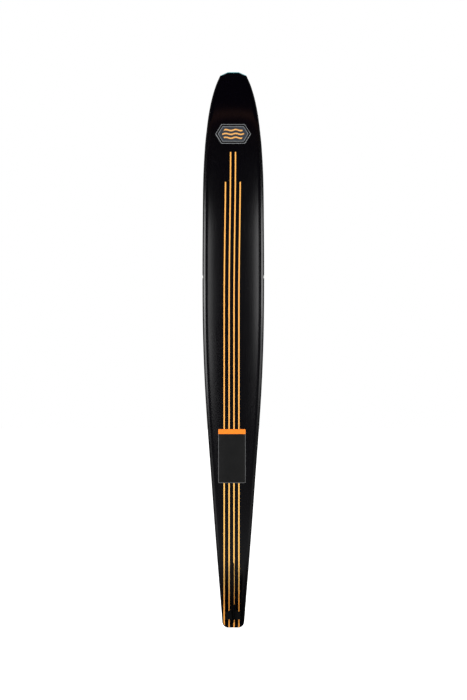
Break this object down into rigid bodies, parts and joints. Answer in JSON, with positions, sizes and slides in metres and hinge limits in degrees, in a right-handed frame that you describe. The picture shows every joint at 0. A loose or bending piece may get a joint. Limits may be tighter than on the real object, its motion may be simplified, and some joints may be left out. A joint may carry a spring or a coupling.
{
  "type": "slalom water ski",
  "caption": "Long tapered slalom water ski with a rockered tunnel base, threaded binding inserts in the deck, and an adjustable fin with wings in a clamping block at the tail.",
  "frame": {"origin": "on the flat binding deck, on the centre line, midway between the front and the rear binding", "axes": "+Y out of the deck, -Y out of the base, +Z towards the tip, +X to the right as seen from the base with the tip up"},
  "size_m": [0.1886, 0.1347, 1.702],
  "materials": {
    "base_black": "satin black moulded base with orange stripes",
    "deck_black": "matt black deck",
    "core_foam": "closed-cell foam",
    "insert_composite": "glass-fibre board",
    "stainless_steel": "stainless screw",
    "insert_brass": "turned brass",
    "anodised_block": "black anodised, milled",
    "carriage_aluminium": "milled aluminium",
    "fin_black": "black anodised sheet"
  },
  "bodies": {
    "ski": {"base_shell": "base_black", "top_shell": "deck_black", "foam_core": "core_foam", "tail_block": "insert_composite", "front_insert_plate": "insert_composite", "rear_insert_plate": "insert_composite", "front_binding_insert_1": "insert_brass", "front_binding_insert_2": "insert_brass", "front_binding_insert_3": "insert_brass", "front_binding_insert_4": "insert_brass", "front_binding_insert_5": "insert_brass", "front_binding_insert_6": "insert_brass", "rear_binding_insert_1": "insert_brass", "rear_binding_insert_2": "insert_brass", "rear_binding_insert_3": "insert_brass", "rear_binding_insert_4": "insert_brass", "rear_binding_insert_5": "insert_brass", "rear_binding_insert_6": "insert_brass", "fin_insert_1": "insert_brass", "fin_insert_2": "insert_brass", "fin_insert_3": "insert_brass", "fin_insert_4": "insert_brass", "fin_insert_5": "insert_brass", "fin_insert_6": "insert_brass", "fin_block": "anodised_block", "block_screw_1": "stainless_steel", "block_screw_2": "stainless_steel", "block_screw_3": "stainless_steel", "block_screw_4": "stainless_steel", "block_screw_5": "stainless_steel", "block_screw_6": "stainless_steel", "lock_screw_1": "stainless_steel", "lock_screw_2": "stainless_steel", "lock_screw_3": "stainless_steel", "lock_screw_4": "stainless_steel"},
    "carriage": {"fin_carriage": "carriage_aluminium"},
    "front_adjuster": {"fore_aft_screw_front": "stainless_steel"},
    "rear_adjuster": {"fore_aft_screw_rear": "stainless_steel"},
    "fin": {"fin": "fin_black", "wing_screw_front": "stainless_steel", "wing_screw_rear": "stainless_steel", "wing_nut_front": "stainless_steel", "wing_nut_rear": "stainless_steel"},
    "front_depth_screw": {"depth_screw_front": "stainless_steel"},
    "rear_depth_screw": {"depth_screw_rear": "stainless_steel"},
    "wings": {"wing_left": "fin_black", "wing_right": "fin_black"}
  },
  "joints": [
    {"name": "fin_fore_aft", "type": "slide", "parent": "ski", "child": "carriage", "axis": [0, 0, 1], "range_m": [-0.0035, 0.0035]},
    {"name": "front_adjuster_turn", "type": "hinge", "parent": "carriage", "child": "front_adjuster", "pos_m": [0, 0.011, -0.525], "axis": [0, 0, 1], "range_deg": [-1576, 1576]},
    {"name": "rear_adjuster_turn", "type": "hinge", "parent": "carriage", "child": "rear_adjuster", "pos_m": [0, 0.011, -0.721], "axis": [0, 0, 1], "range_deg": [-1576, 1576]},
    {"name": "fin_depth", "type": "slide", "parent": "carriage", "child": "fin", "axis": [0, 1, 0], "range_m": [-0.002, 0.002]},
    {"name": "front_depth_screw_turn", "type": "hinge", "parent": "fin", "child": "front_depth_screw", "pos_m": [0, 0.004, -0.565], "axis": [0, 1, 0], "range_deg": [-901, 901]},
    {"name": "rear_depth_screw_turn", "type": "hinge", "parent": "fin", "child": "rear_depth_screw", "pos_m": [0, 0.004, -0.681], "axis": [0, 1, 0], "range_deg": [-901, 901]},
    {"name": "wing_tilt", "type": "hinge", "parent": "fin", "child": "wings", "pos_m": [0, -0.04963, -0.6655], "axis": [1, 0, 0], "range_deg": [-3, 3]}
  ],
  "couplings": [
    {"joint": "front_adjuster_turn", "follows": "fin_fore_aft", "rad_per_m": 7854},
    {"joint": "rear_adjuster_turn", "follows": "fin_fore_aft", "rad_per_m": 7854},
    {"joint": "front_depth_screw_turn", "follows": "fin_depth", "rad_per_m": 7854},
    {"joint": "rear_depth_screw_turn", "follows": "fin_depth", "rad_per_m": 7854}
  ]
}
